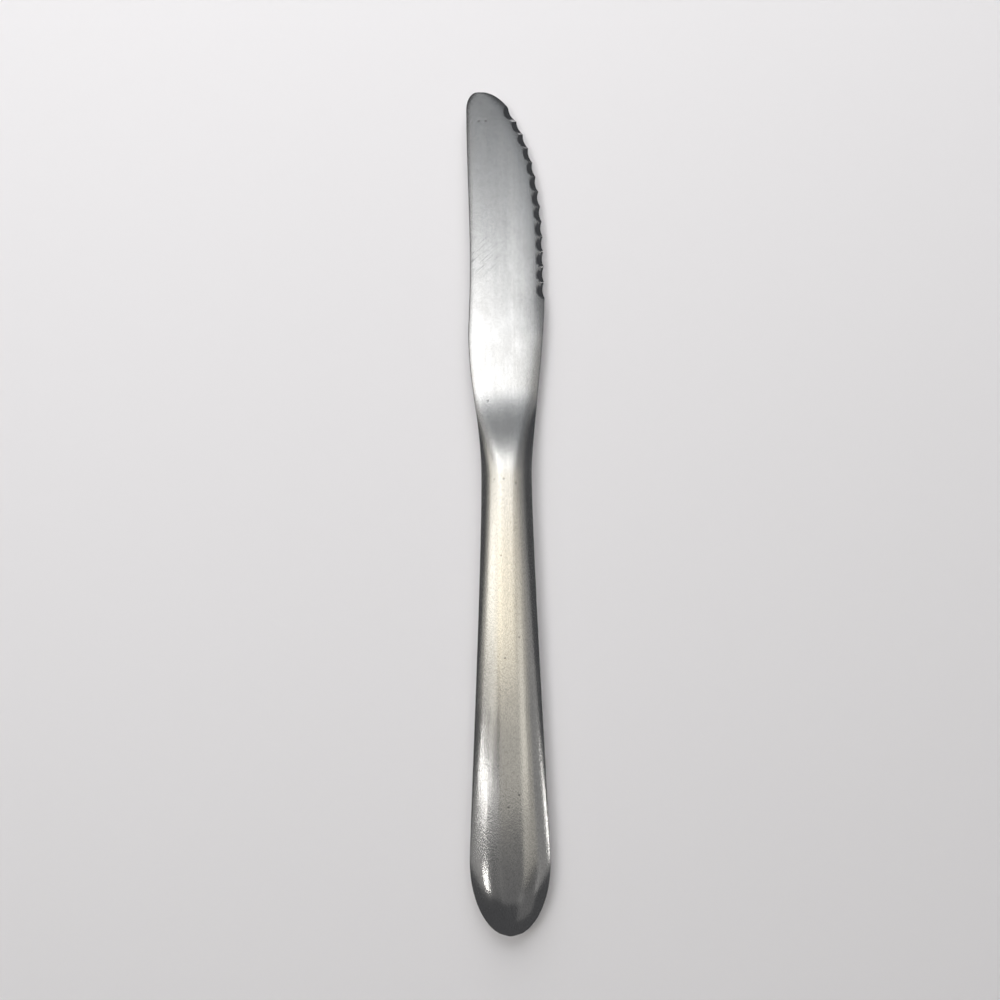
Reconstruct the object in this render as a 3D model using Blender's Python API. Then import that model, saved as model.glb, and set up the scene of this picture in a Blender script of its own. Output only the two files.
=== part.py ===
"""All-metal table knife with a scalloped edge, built up as a hollow-handle knife.

The forged blade carries a ramped neck, a shoulder, a register spigot and a notched tang. Two pressed half shells are
brazed along a seam round the handle and to the blade's shoulder, and cement fills the handle round the tang.
Knife coordinates: Y runs from the butt end to the tip, X towards the cutting edge, Z square to the seam plane.
"""

import math

import bmesh
import bpy
import numpy as np
from mathutils import Matrix, Vector
from mathutils.geometry import interpolate_bezier

# Handle
HANDLE_LENGTH = 0.1180
HANDLE_THICKNESS = 0.0066
BUTT_WIDTH = 0.0208
BUTT_LENGTH = 0.0205
BUTT_CROWN_LENGTH = 0.0130
NECK_WIDTH = 0.0130
SHELL_WALL = 0.0008
RIM_LEAST = 0.0001

# Blade, from the shoulder to the tip
BLADE_LENGTH = 0.0980
SPINE_OFFSET = 0.0095
SPINE_WAIST = 0.0006
SPINE_FLARE_LENGTH = 0.0360
EDGE_OFFSET = 0.0102
EDGE_FLARE_LENGTH = 0.0453
BLADE_THICKNESS_ROOT = 0.0022
BLADE_THICKNESS_TIP = 0.0014
EDGE_THICKNESS_NECK = 0.0012
EDGE_THICKNESS_HEEL = 0.0005
EDGE_THICKNESS_TIP = 0.0005
GRIND_WIDTH = 0.0140
CREST_WIDTH = 0.0004
PLUNGE_LENGTH = 0.0095
SPINE_RADIUS = 0.0004
EDGE_RADIUS = 0.0008
RAMP_LEAD = 0.0025
RAMP_LENGTH = 0.0205
TIP_TOP_WIDTH = 0.0013
TIP_CORNER_WIDTH = 0.0029
TIP_CORNER_LENGTH = 0.0045
TIP_RADIUS = 0.0004

# Scalloped cutting edge
SCALLOP_PITCH = 0.00392
SCALLOP_DEPTH = 0.0006
SCALLOP_RADIUS = 0.0042
SCALLOP_TILT = math.radians(58)
PLAIN_TIP_LENGTH = 0.0050

# Tang and spigot
SPIGOT_LENGTH = 0.0030
TANG_LENGTH = 0.0520
TANG_WIDTH_ROOT = 0.0070
TANG_WIDTH_END = 0.0045
TANG_THICKNESS = 0.0030
TANG_NOTCHES = 3
TANG_NOTCH_DEPTH = 0.0007
TANG_NOTCH_LENGTH = 0.0040

# Fits
BRAZE_THICKNESS = 0.0002
BRAZE_GAP = 0.00005
CEMENT_GAP = 0.0002

# Form of the curves, without units
LAND_SHARE = 0.10
RIM_SHARE_NECK = 0.40
RIM_SHARE_BUTT = 0.12
RIM_FADE_POWER = 2.0
CROWN_POWER_NECK = 3.0
CROWN_POWER_BUTT = 2.2
GRIND_POWER = 4.0
GRIND_SHARE_MOST = 0.70
CREST_SHARE_MOST = 0.05
EDGE_SHARE_MOST = 0.80
EDGE_ROUND_SHARE = 0.90
BELLY_POWER = 2.8
BELLY_TURN_POWER = 1.9
WAIST_SKEW = 0.67
TANG_POWER = 8.0
TANG_LAND_SHARE = 0.40
TANG_WALL_SHARE = 0.30
TAPER_START_REACH = 0.06
TAPER_END_REACH = 0.22
SPINE_FLARE_REACH = 0.40
EDGE_FLARE_START_REACH = 0.18
EDGE_FLARE_END_REACH = 0.28
RAMP_REACH = 0.36
SCALLOP_FOLLOW = 0.45

# Facets
CROWN_STEPS = 5
RIM_STEPS = 3
BUTT_ROWS = 8
TAPER_ROWS = 14
RAMP_ROWS = 10
BODY_ROWS = 7
TIP_ROWS = 18
CURVE_SAMPLES = 129
CUTTER_SEGMENTS = 64
TILT_ROUNDS = 12

# Finishes: colour, roughness, metallic
BLADE_STEEL = ((0.62, 0.62, 0.62), 0.30, 1.0)
HANDLE_STEEL = ((0.64, 0.63, 0.61), 0.34, 1.0)
CEMENT = ((0.52, 0.50, 0.46), 0.90, 0.0)
SILVER_BRAZE = ((0.66, 0.64, 0.60), 0.35, 1.0)

# Places along Y
SHOULDER = HANDLE_LENGTH + BRAZE_THICKNESS + 2 * BRAZE_GAP
TIP = SHOULDER + BLADE_LENGTH
SPINE_HEEL = SHOULDER + SPINE_FLARE_LENGTH
EDGE_HEEL = SHOULDER + EDGE_FLARE_LENGTH
RAMP_START = SHOULDER + RAMP_LEAD
RAMP_END = RAMP_START + RAMP_LENGTH
TIP_CORNER = TIP - TIP_CORNER_LENGTH
TIP_OFFSET = SPINE_OFFSET - TIP_CORNER_WIDTH - TIP_TOP_WIDTH
EDGE_PLACES = (EDGE_HEEL - PLUNGE_LENGTH, EDGE_HEEL, TIP)
EDGE_THICKNESSES = (EDGE_THICKNESS_NECK, EDGE_THICKNESS_HEEL, EDGE_THICKNESS_TIP)
SPIGOT_BACK = SHOULDER - SPIGOT_LENGTH
TANG_END = SPIGOT_BACK - TANG_LENGTH
SEAM_HALF = BRAZE_THICKNESS / 2 + BRAZE_GAP

# Points of a half section
SECTION_POINTS = 2 * (1 + CROWN_STEPS + RIM_STEPS)


def eased(start, end, start_reach, end_reach):
    """Curve through two (y, value) points that leaves and arrives level, as a function of y."""
    (y0, v0), (y1, v1) = start, end
    span = y1 - y0
    knots = [(y0, v0), (y0 + start_reach * span, v0), (y1 - end_reach * span, v1), (y1, v1)]
    curve = interpolate_bezier(*[Vector((y, v, 0)) for y, v in knots], CURVE_SAMPLES)
    places = [point.x for point in curve]
    values = [point.y for point in curve]
    return lambda y: float(np.interp(y, places, values))


def ramp(low, high, y):
    """Share of the way from low to high, held at both ends."""
    return min(max((y - low) / (high - low), 0.0), 1.0)


def mix(a, b, share):
    return a + (b - a) * share


taper = eased((BUTT_LENGTH, BUTT_WIDTH / 2), (HANDLE_LENGTH, NECK_WIDTH / 2), TAPER_START_REACH, TAPER_END_REACH)
spine_flare = eased((SHOULDER, NECK_WIDTH / 2), (SPINE_HEEL, SPINE_OFFSET), SPINE_FLARE_REACH, SPINE_FLARE_REACH)
edge_flare = eased((SHOULDER, NECK_WIDTH / 2), (EDGE_HEEL, EDGE_OFFSET),
                   EDGE_FLARE_START_REACH, EDGE_FLARE_END_REACH)
neck_fall = eased((RAMP_START, HANDLE_THICKNESS / 2), (RAMP_END, BLADE_THICKNESS_ROOT / 2), RAMP_REACH, RAMP_REACH)


def spine_side(y):
    """Distance from the axis to the spine: flare, shallow waist, then the rounded corner at the tip."""
    if y < SPINE_HEEL:
        return spine_flare(y)
    along = ramp(SPINE_HEEL, TIP_CORNER, y)
    side = SPINE_OFFSET - SPINE_WAIST * math.sin(math.pi * along ** WAIST_SKEW) ** 2
    corner = ramp(TIP_CORNER, TIP, y)
    return side - TIP_CORNER_WIDTH * (1 - math.sqrt(1 - corner ** 2))


def edge_side(y):
    """Distance from the axis to the line of the tooth points: flare, then the belly that curves over to the tip."""
    if y < EDGE_HEEL:
        return edge_flare(y)
    along = ramp(EDGE_HEEL, TIP, y)
    return (EDGE_OFFSET + TIP_OFFSET) * (1 - along ** BELLY_POWER) ** (1 / BELLY_TURN_POWER) - TIP_OFFSET


def blade_half_thickness(y):
    """Fall of the neck, even taper of the blade and the rounding at the very tip."""
    if y < RAMP_END:
        return neck_fall(y)
    half = mix(BLADE_THICKNESS_ROOT, BLADE_THICKNESS_TIP, ramp(RAMP_END, TIP, y)) / 2
    end = ramp(TIP - TIP_RADIUS, TIP, y)
    return half - TIP_RADIUS * (1 - math.sqrt(1 - end ** 2))


def bar_arc(half, height):
    """Half section of a flat bar with rounded corners, as (x, z) pairs."""
    angles = np.linspace(0, math.pi / 2, SECTION_POINTS // 2)
    reach = TANG_LAND_SHARE + (1 - TANG_LAND_SHARE) * np.abs(np.cos(angles)) ** (2 / TANG_POWER)
    reach[-1] = TANG_LAND_SHARE
    rise = mix(TANG_WALL_SHARE, 1, np.sin(angles) ** (2 / TANG_POWER))
    xs = half * np.concatenate([-reach, reach[::-1]])
    zs = height * np.concatenate([rise, rise[::-1]])
    return np.column_stack([xs, zs])


def edge_half_thickness(y):
    """Blunt up to the plunge at the heel, thin from the heel to the tip."""
    thickness = np.interp(y, EDGE_PLACES, EDGE_THICKNESSES)
    return float(thickness) / 2


def rim_tilt(half, land, height, rim, power, wall):
    """Slope angle at which the crown runs into the round rim, found by repeated improvement."""
    tilt = 0.0
    for _ in range(TILT_ROUNDS):
        drop = height - wall - rim * math.cos(tilt)
        tilt = math.atan(power * drop / (half - rim * (1 - math.sin(tilt)) - land))
    return tilt


def section_side(half, land, height, rim, power, wall):
    """One side of a section as (x, z) pairs: a crown that falls from the land, a round rim and a short upright wall."""
    tilt = rim_tilt(half, land, height, rim, power, wall)
    brow, brow_height = half - rim * (1 - math.sin(tilt)), wall + rim * math.cos(tilt)
    out = np.linspace(0, 1, CROWN_STEPS + 1)
    turn = np.linspace(tilt, math.pi / 2, RIM_STEPS + 1)[1:]
    xs = np.concatenate([mix(land, brow, out), half - rim + rim * np.sin(turn)])
    zs = np.concatenate([height - (height - brow_height) * out ** power, wall + rim * np.cos(turn)])
    return np.column_stack([xs, zs])


def half_section(left_side, right_side):
    """Half section above the seam plane, from the left wall over the top to the right wall."""
    return np.vstack([left_side[::-1] * (-1, 1), right_side])


def blade_arc(y):
    """Half section of the neck and blade: the handle's oval at the shoulder changes into the ground plate."""
    left, right, height = spine_side(y), edge_side(y), blade_half_thickness(y)
    edge = min(edge_half_thickness(y), EDGE_SHARE_MOST * height)
    crest = right - min(GRIND_WIDTH, GRIND_SHARE_MOST * (left + right))
    crest_half = min(CREST_WIDTH / 2, CREST_SHARE_MOST * (left + right))
    spine_round = min(SPINE_RADIUS, height / 2)
    edge_round = min(EDGE_RADIUS, EDGE_ROUND_SHARE * edge)
    spine_wall = height - spine_round
    edge_wall = edge - edge_round
    share = ramp(SHOULDER, RAMP_END, y)
    share = share * share * (3 - 2 * share)
    oval_round = RIM_SHARE_NECK * height
    power = mix(CROWN_POWER_NECK, GRIND_POWER, share)
    left_side = section_side(left, mix(LAND_SHARE * left, crest_half - crest, share), height,
                             mix(oval_round, spine_round, share), power, mix(SEAM_HALF, spine_wall, share))
    right_side = section_side(right, mix(LAND_SHARE * right, crest_half + crest, share), height,
                              mix(oval_round, edge_round, share), power, mix(SEAM_HALF, edge_wall, share))
    return half_section(left_side, right_side)


def handle_row(row, inset):
    """Place and half width of one row of the handle, moved in by inset."""
    if row <= BUTT_ROWS:
        turn = math.pi / 2 * row / BUTT_ROWS
        return BUTT_LENGTH - (BUTT_LENGTH - inset) * math.cos(turn), (BUTT_WIDTH / 2 - inset) * math.sin(turn)
    y = mix(BUTT_LENGTH, HANDLE_LENGTH, (row - BUTT_ROWS) / TAPER_ROWS)
    return y, taper(y) - inset


def handle_arc(row, inset):
    """Place and half section of one row of the handle, moved in by inset; the top falls to a round rim at the butt."""
    y, half = handle_row(row, inset)
    top = HANDLE_THICKNESS / 2 - inset
    butt_rim = max(RIM_SHARE_BUTT * HANDLE_THICKNESS / 2 - inset, RIM_LEAST)
    fall = section_side(BUTT_CROWN_LENGTH - inset, 0.0, top, butt_rim, CROWN_POWER_BUTT, SEAM_HALF)
    height = float(np.interp(y, BUTT_CROWN_LENGTH - fall[::-1, 0], fall[::-1, 1]))
    along = ramp(BUTT_LENGTH, HANDLE_LENGTH, y)
    rim = mix(RIM_SHARE_BUTT, RIM_SHARE_NECK, along ** RIM_FADE_POWER) * HANDLE_THICKNESS / 2 - inset
    rim = min(max(rim, RIM_LEAST), (height - SEAM_HALF) / 2, half / 2)
    power = mix(CROWN_POWER_BUTT, CROWN_POWER_NECK, along)
    side = section_side(half, LAND_SHARE * half, height, rim, power, SEAM_HALF)
    return y, half_section(side, side)


def add_verts(bm, points, y, side=1):
    return [bm.verts.new((x, y, side * z)) for x, z in points]


def closed_ring(bm, arc, y):
    """Ring of vertices round a whole section that is the same above and below the seam plane."""
    return add_verts(bm, np.vstack([arc, arc[::-1] * (1, -1)]), y)


def skin(bm, rings):
    """Faces between neighbouring closed rings; repeated vertices in a ring give triangles."""
    for first, second in zip(rings, rings[1:]):
        for k in range(len(first)):
            n = (k + 1) % len(first)
            corners = dict.fromkeys((first[k], first[n], second[n], second[k]))
            if len(corners) > 2:
                bm.faces.new(list(corners))


def new_object(name, bm, collection):
    """Finish a mesh with its faces pointing out and round parts shaded smooth, and hang it on the datum."""
    bmesh.ops.recalc_face_normals(bm, faces=bm.faces)
    mesh = bpy.data.meshes.new(name)
    bm.to_mesh(mesh)
    bm.free()
    mesh.shade_smooth()
    mesh.set_sharp_from_angle(angle=math.radians(30))
    obj = bpy.data.objects.new(name, mesh)
    collection.objects.link(obj)
    obj.parent = datum
    return obj


def new_cutter(name, bm, collection):
    obj = new_object(name, bm, collection)
    obj.hide_render = True
    obj.display_type = "WIRE"
    return obj


def finish(obj, look):
    colour, roughness, metallic = look
    material = bpy.data.materials.new(obj.name)
    material.use_nodes = True
    shader = material.node_tree.nodes["Principled BSDF"]
    shader.inputs["Base Color"].default_value = (*colour, 1)
    shader.inputs["Roughness"].default_value = roughness
    shader.inputs["Metallic"].default_value = metallic
    obj.data.materials.append(material)


def tang_rings(bm, grow):
    """Rings of the notched tang from its end to the spigot's back face, grown on all sides."""
    stations = [(TANG_END - grow, 0.0)]
    for k in range(TANG_NOTCHES):
        centre = TANG_END + TANG_LENGTH * (k + 1) / (TANG_NOTCHES + 1)
        half = TANG_NOTCH_LENGTH / 2
        stations += [(centre - half, 0.0), (centre, TANG_NOTCH_DEPTH), (centre + half, 0.0)]
    stations.append((SPIGOT_BACK, 0.0))
    rings = []
    for y, notch in stations:
        width = mix(TANG_WIDTH_END, TANG_WIDTH_ROOT, ramp(TANG_END, SPIGOT_BACK, y)) / 2 - notch + grow
        rings.append(closed_ring(bm, bar_arc(width, TANG_THICKNESS / 2 + grow), y))
    return rings


def blade_stations():
    """Places of the blade's sections, close together on the ramp and towards the tip."""
    neck = np.linspace(SHOULDER, RAMP_END, RAMP_ROWS + 1)
    body = np.linspace(RAMP_END, EDGE_HEEL, BODY_ROWS + 1)[1:]
    turn = np.linspace(0, math.pi / 2, TIP_ROWS + 1)[1:]
    return np.concatenate([neck, body, EDGE_HEEL + (TIP - EDGE_HEEL) * np.sin(turn)])


def edge_path():
    """Points along the line of the tooth points, from the heel to the top of the tip, with their lengths of arc."""
    turn = np.linspace(0, math.pi / 2, CURVE_SAMPLES)
    along = np.sin(turn) ** (2 / BELLY_POWER)
    across = np.cos(turn) ** (2 / BELLY_TURN_POWER)
    xs = (EDGE_OFFSET + TIP_OFFSET) * across - TIP_OFFSET
    ys = mix(EDGE_HEEL, TIP, along)
    lengths = np.concatenate([[0], np.cumsum(np.hypot(np.diff(xs), np.diff(ys)))])
    return xs, ys, lengths


def make_scallop_cutters():
    """Tilted round flutes at an even pitch from the heel to the plain tip, deepest on the upper cheek."""
    xs, ys, lengths = edge_path()
    for k in range(int((lengths[-1] - PLAIN_TIP_LENGTH) / SCALLOP_PITCH)):
        place = (k + 0.5) * SCALLOP_PITCH
        x, y = np.interp(place, lengths, xs), np.interp(place, lengths, ys)
        ahead = min(place + SCALLOP_PITCH / 2, lengths[-1])
        rise = np.interp(ahead, lengths, ys) - np.interp(place - SCALLOP_PITCH / 2, lengths, ys)
        run = np.interp(ahead, lengths, xs) - np.interp(place - SCALLOP_PITCH / 2, lengths, xs)
        normal_angle = math.atan2(-run, rise)
        turned = SCALLOP_FOLLOW * normal_angle
        outward = Vector((math.cos(turned), math.sin(turned), 0))
        low = -edge_half_thickness(y)
        depth = SCALLOP_DEPTH / math.cos(normal_angle - turned)
        foot = Vector((x, y, low)) + outward * (SCALLOP_RADIUS / math.cos(SCALLOP_TILT) - depth)
        axis = Vector((0, 0, math.cos(SCALLOP_TILT))) - outward * math.sin(SCALLOP_TILT)
        bm = bmesh.new()
        spin = Vector((0, 0, 1)).rotation_difference(axis).to_matrix().to_4x4()
        length = 4 * SCALLOP_RADIUS
        bmesh.ops.create_cone(bm, cap_ends=True, segments=CUTTER_SEGMENTS, radius1=SCALLOP_RADIUS,
                              radius2=SCALLOP_RADIUS, depth=length, matrix=Matrix.Translation(foot) @ spin)
        new_cutter(f"scallop_cutter_{k + 1:02d}", bm, scallops)


def make_blade():
    bm = bmesh.new()
    rings = tang_rings(bm, 0.0)
    spigot = handle_arc(BUTT_ROWS + TAPER_ROWS, SHELL_WALL + CEMENT_GAP)[1]
    rings += [closed_ring(bm, spigot, SPIGOT_BACK), closed_ring(bm, spigot, SHOULDER)]
    rings += [closed_ring(bm, blade_arc(y), y) for y in blade_stations()]
    skin(bm, rings)
    bm.faces.new(rings[0])
    bm.faces.new(rings[-1])
    blade = new_object("blade", bm, parts)
    make_scallop_cutters()
    cut = blade.modifiers.new("scallops", "BOOLEAN")
    cut.operation = "DIFFERENCE"
    cut.solver = "EXACT"
    cut.operand_type = "COLLECTION"
    cut.collection = scallops
    finish(blade, BLADE_STEEL)


def make_shell(name, side):
    """Pressed half shell: an outer and an inner crowned skin joined by a flat seam rim and a flat mouth rim."""
    bm = bmesh.new()
    rings = []
    for row in range(BUTT_ROWS + TAPER_ROWS + 1):
        skins = []
        for inset in (0.0, SHELL_WALL):
            if row == 0:
                skins.append(add_verts(bm, [(0, SEAM_HALF)], inset, side) * SECTION_POINTS)
            else:
                y, arc = handle_arc(row, inset)
                skins.append(add_verts(bm, arc, y, side))
        rings.append(skins[0] + skins[1][::-1])
    skin(bm, rings)
    mouth = rings[-1]
    for k in range(len(mouth) // 2 - 1):
        bm.faces.new((mouth[k], mouth[k + 1], mouth[-k - 2], mouth[-k - 1]))
    shell = new_object(name, bm, parts)
    finish(shell, HANDLE_STEEL)


def make_cement():
    """Filler cast inside the shells up to the spigot, with a pocket for the tang."""
    bm = bmesh.new()
    inset = SHELL_WALL + CEMENT_GAP
    front = SPIGOT_BACK - CEMENT_GAP
    apex = add_verts(bm, [(0, SEAM_HALF), (0, -SEAM_HALF)], inset)
    rings = [apex[:1] * SECTION_POINTS + apex[1:] * SECTION_POINTS]
    for row in range(1, BUTT_ROWS + TAPER_ROWS + 1):
        y, arc = handle_arc(row, inset)
        if y < front:
            rings.append(closed_ring(bm, arc, y))
    last = BUTT_ROWS + TAPER_ROWS
    rings.append(closed_ring(bm, handle_arc(last, inset)[1], front))
    skin(bm, rings)
    bm.faces.new(rings[-1])
    cement = new_object("handle_cement", bm, parts)

    bm = bmesh.new()
    pocket = tang_rings(bm, CEMENT_GAP)
    skin(bm, pocket)
    bm.faces.new(pocket[0])
    bm.faces.new(pocket[-1])
    cut = cement.modifiers.new("tang_pocket", "BOOLEAN")
    cut.operation = "DIFFERENCE"
    cut.solver = "EXACT"
    cut.object = new_cutter("tang_pocket_cutter", bm, cutters)
    finish(cement, CEMENT)


def make_seam_braze():
    """Flat ribbon of braze between the two seam rims, round the butt and along both sides to the mouth."""
    bm = bmesh.new()
    rings = []
    half = BRAZE_THICKNESS / 2
    for row in range(BUTT_ROWS + TAPER_ROWS + 1):
        rings.append([handle_row(row, inset) for inset in (0.0, SHELL_WALL)])
    path = [(y_out, -w_out, y_in, -w_in) for (y_out, w_out), (y_in, w_in) in rings[::-1]]
    path += [(y_out, w_out, y_in, w_in) for (y_out, w_out), (y_in, w_in) in rings[1:]]
    loops = []
    for y_out, x_out, y_in, x_in in path:
        corners = [(x_out, y_out, half), (x_in, y_in, half), (x_in, y_in, -half), (x_out, y_out, -half)]
        loops.append([bm.verts.new(corner) for corner in corners])
    skin(bm, loops)
    bm.faces.new(loops[0])
    bm.faces.new(loops[-1])
    braze = new_object("seam_braze", bm, parts)
    finish(braze, SILVER_BRAZE)


def make_neck_braze():
    """Ring of braze between the handle's mouth and the blade's shoulder, round the spigot."""
    bm = bmesh.new()
    last = BUTT_ROWS + TAPER_ROWS
    back = HANDLE_LENGTH + BRAZE_GAP
    front = back + BRAZE_THICKNESS
    outer, inner = handle_arc(last, 0.0)[1], handle_arc(last, SHELL_WALL)[1]
    rings = [closed_ring(bm, arc, y) for arc, y in ((outer, back), (outer, front), (inner, front), (inner, back))]
    skin(bm, rings + rings[:1])
    braze = new_object("neck_braze", bm, parts)
    finish(braze, SILVER_BRAZE)


def new_collection(name, parent):
    collection = bpy.data.collections.new(name)
    parent.children.link(collection)
    return collection


for old in list(bpy.data.objects):
    bpy.data.objects.remove(old, do_unlink=True)

root = bpy.context.scene.collection
parts = new_collection("table_knife", root)
cutters = new_collection("cutters", root)
scallops = new_collection("scallop_cutters", cutters)

# The knife lies on the lower shell's land, with the middle of its box over the origin.
reach_right = max(BUTT_WIDTH / 2, EDGE_OFFSET)
reach_left = max(BUTT_WIDTH / 2, SPINE_OFFSET)
datum = bpy.data.objects.new("knife_datum", None)
datum.location = ((reach_left - reach_right) / 2, -TIP / 2, HANDLE_THICKNESS / 2)
parts.objects.link(datum)

make_blade()
make_shell("handle_shell_upper", 1)
make_shell("handle_shell_lower", -1)
make_cement()
make_seam_braze()
make_neck_braze()
bpy.context.view_layer.update()
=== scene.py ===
"""Looks of the all-metal table knife: fine meshes, satin steel finishes, plain studio light and the camera.

The meshes follow the outline of the solids with finer steps. The handle's sides, the ramp of the neck and
the scallops are shaped more closely. Places along the knife are lengths from the butt end, X points to the
cutting edge and Z up from the seam plane.
"""
import math

import bmesh
import bpy
import numpy as np
from mathutils import Matrix, Vector
from mathutils.geometry import interpolate_bezier


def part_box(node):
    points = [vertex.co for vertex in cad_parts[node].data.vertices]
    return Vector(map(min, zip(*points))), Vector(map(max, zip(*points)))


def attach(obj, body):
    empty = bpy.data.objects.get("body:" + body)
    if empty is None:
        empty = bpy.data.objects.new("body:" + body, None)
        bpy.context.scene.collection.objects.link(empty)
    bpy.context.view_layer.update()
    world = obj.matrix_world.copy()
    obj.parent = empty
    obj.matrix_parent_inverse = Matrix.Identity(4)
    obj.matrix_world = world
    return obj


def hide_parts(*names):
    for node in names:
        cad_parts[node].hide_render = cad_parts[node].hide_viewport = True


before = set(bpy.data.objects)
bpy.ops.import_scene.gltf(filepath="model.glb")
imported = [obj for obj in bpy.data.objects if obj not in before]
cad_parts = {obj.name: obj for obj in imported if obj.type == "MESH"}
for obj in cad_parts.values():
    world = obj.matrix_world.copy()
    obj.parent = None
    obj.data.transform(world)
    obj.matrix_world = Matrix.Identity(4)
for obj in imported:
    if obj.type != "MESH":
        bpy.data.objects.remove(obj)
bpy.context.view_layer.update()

# Sizes that come from the frame
upper_low, upper_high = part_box("handle_shell_upper")
lower_low, lower_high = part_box("handle_shell_lower")
blade_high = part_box("blade")[1]
ring_low, ring_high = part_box("neck_braze")
BUTT = upper_low.y
AXIS_X = (upper_low.x + upper_high.x) / 2
SEAM_Z = (upper_low.z + lower_high.z) / 2
SEAM_HALF = (upper_low.z - lower_high.z) / 2
HANDLE_LENGTH = upper_high.y - BUTT
HANDLE_THICKNESS = upper_high.z - lower_low.z
BUTT_WIDTH = upper_high.x - upper_low.x
NECK_WIDTH = ring_high.x - ring_low.x
TIP = blade_high.y - BUTT
SHOULDER = ring_high.y - BUTT + (ring_low.y - upper_high.y)

# Handle
BUTT_LENGTH = 0.0190
BUTT_CROWN_LENGTH = 0.0130
SHELL_WALL = 0.0008
SIDE_WALL = 0.0012
RIM_LEAST = 0.0001
HAIRLINE = 0.000002

# Blade
SPINE_OFFSET = 0.0095
SPINE_WAIST = 0.0006
SPINE_FLARE_LENGTH = 0.0360
EDGE_OFFSET = 0.0102
EDGE_FLARE_LENGTH = 0.0453
BLADE_THICKNESS_ROOT = 0.0022
BLADE_THICKNESS_TIP = 0.0014
EDGE_THICKNESS_NECK = 0.0012
EDGE_THICKNESS_HEEL = 0.0004
EDGE_THICKNESS_TIP = 0.0009
GRIND_WIDTH = 0.0140
CREST_WIDTH = 0.0004
PLUNGE_LENGTH = 0.0095
SPINE_RADIUS = 0.0003
EDGE_RADIUS = 0.0008
CHEEK_CROWN = 0.00015
RAMP_LENGTH = 0.0230
TIP_TOP_WIDTH = 0.0013
TIP_CORNER_WIDTH = 0.0029
TIP_CORNER_LENGTH = 0.0045
TIP_RADIUS = 0.0004

# Scalloped cutting edge
SCALLOP_PITCH = 0.00392
SCALLOP_DEPTH = 0.00070
SCALLOP_TILT = math.radians(59)
FLUTE_RISE = 0.0008
FLUTE_BOW = 0.00070
FLUTE_MARGIN = 0.0006
FLUTE_CLEARANCE = 0.0070
PLAIN_TIP_LENGTH = 0.0050

# Form of the curves, without units
LAND_SHARE = 0.10
RIM_SHARE_NECK = 0.08
RIM_SHARE_BUTT = 0.09
WALL_SHARE_MOST = 0.70
RIM_FADE_POWER = 2.0
CROWN_POWER_NECK = 2.7
CROWN_POWER_BUTT = 2.2
GRIND_POWER = 6.0
GRIND_LEAN = 0.30
LEAN_POWER = 5.0
GRIND_SHARE_MOST = 0.70
CREST_SHARE_MOST = 0.05
EDGE_SHARE_MOST = 0.80
EDGE_ROUND_SHARE = 0.70
BELLY_POWER = 2.8
BELLY_TURN_POWER = 1.9
WAIST_SKEW = 0.67
TAPER_START_REACH = 0.06
TAPER_END_REACH = 0.22
SPINE_FLARE_REACH = 0.40
EDGE_FLARE_START_REACH = 0.18
EDGE_FLARE_END_REACH = 0.28
RAMP_REACH = 0.39
SCALLOP_FOLLOW = 0.45
FLUTE_REACH = 1.10

# Steps of the fine meshes
CROWN_STEPS = 18
RIM_STEPS = 10
BUTT_ROWS = 40
TAPER_ROWS = 90
RAMP_ROWS = 64
BODY_ROWS = 40
TIP_ROWS = 90
SECTION_POINTS = 2 * (2 + CROWN_STEPS + RIM_STEPS)
CURVE_SAMPLES = 513
FLUTE_STEPS = 48
TILT_ROUNDS = 12
SHARP_ANGLE = math.radians(28)

# Places along the blade
SPINE_HEEL = SHOULDER + SPINE_FLARE_LENGTH
EDGE_HEEL = SHOULDER + EDGE_FLARE_LENGTH
RAMP_END = SHOULDER + RAMP_LENGTH
TIP_CORNER = TIP - TIP_CORNER_LENGTH
TIP_OFFSET = SPINE_OFFSET - TIP_CORNER_WIDTH - TIP_TOP_WIDTH
EDGE_PLACES = (EDGE_HEEL - PLUNGE_LENGTH, EDGE_HEEL, TIP - PLAIN_TIP_LENGTH, TIP)
EDGE_THICKNESSES = (EDGE_THICKNESS_NECK, EDGE_THICKNESS_HEEL, EDGE_THICKNESS_HEEL, EDGE_THICKNESS_TIP)

# Camera: straight down over the middle of the picture, turned a little against the knife
PICTURE = 1000
PX_PER_M = 3893.0
CAMERA_HEIGHT = 0.270
AXIS_PX_AT_MIDDLE = 506.8
BUTT_PX = 934.6
KNIFE_LEAN = math.atan(0.0095)
SENSOR = 36.0
CLIP_START = 0.01

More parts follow.
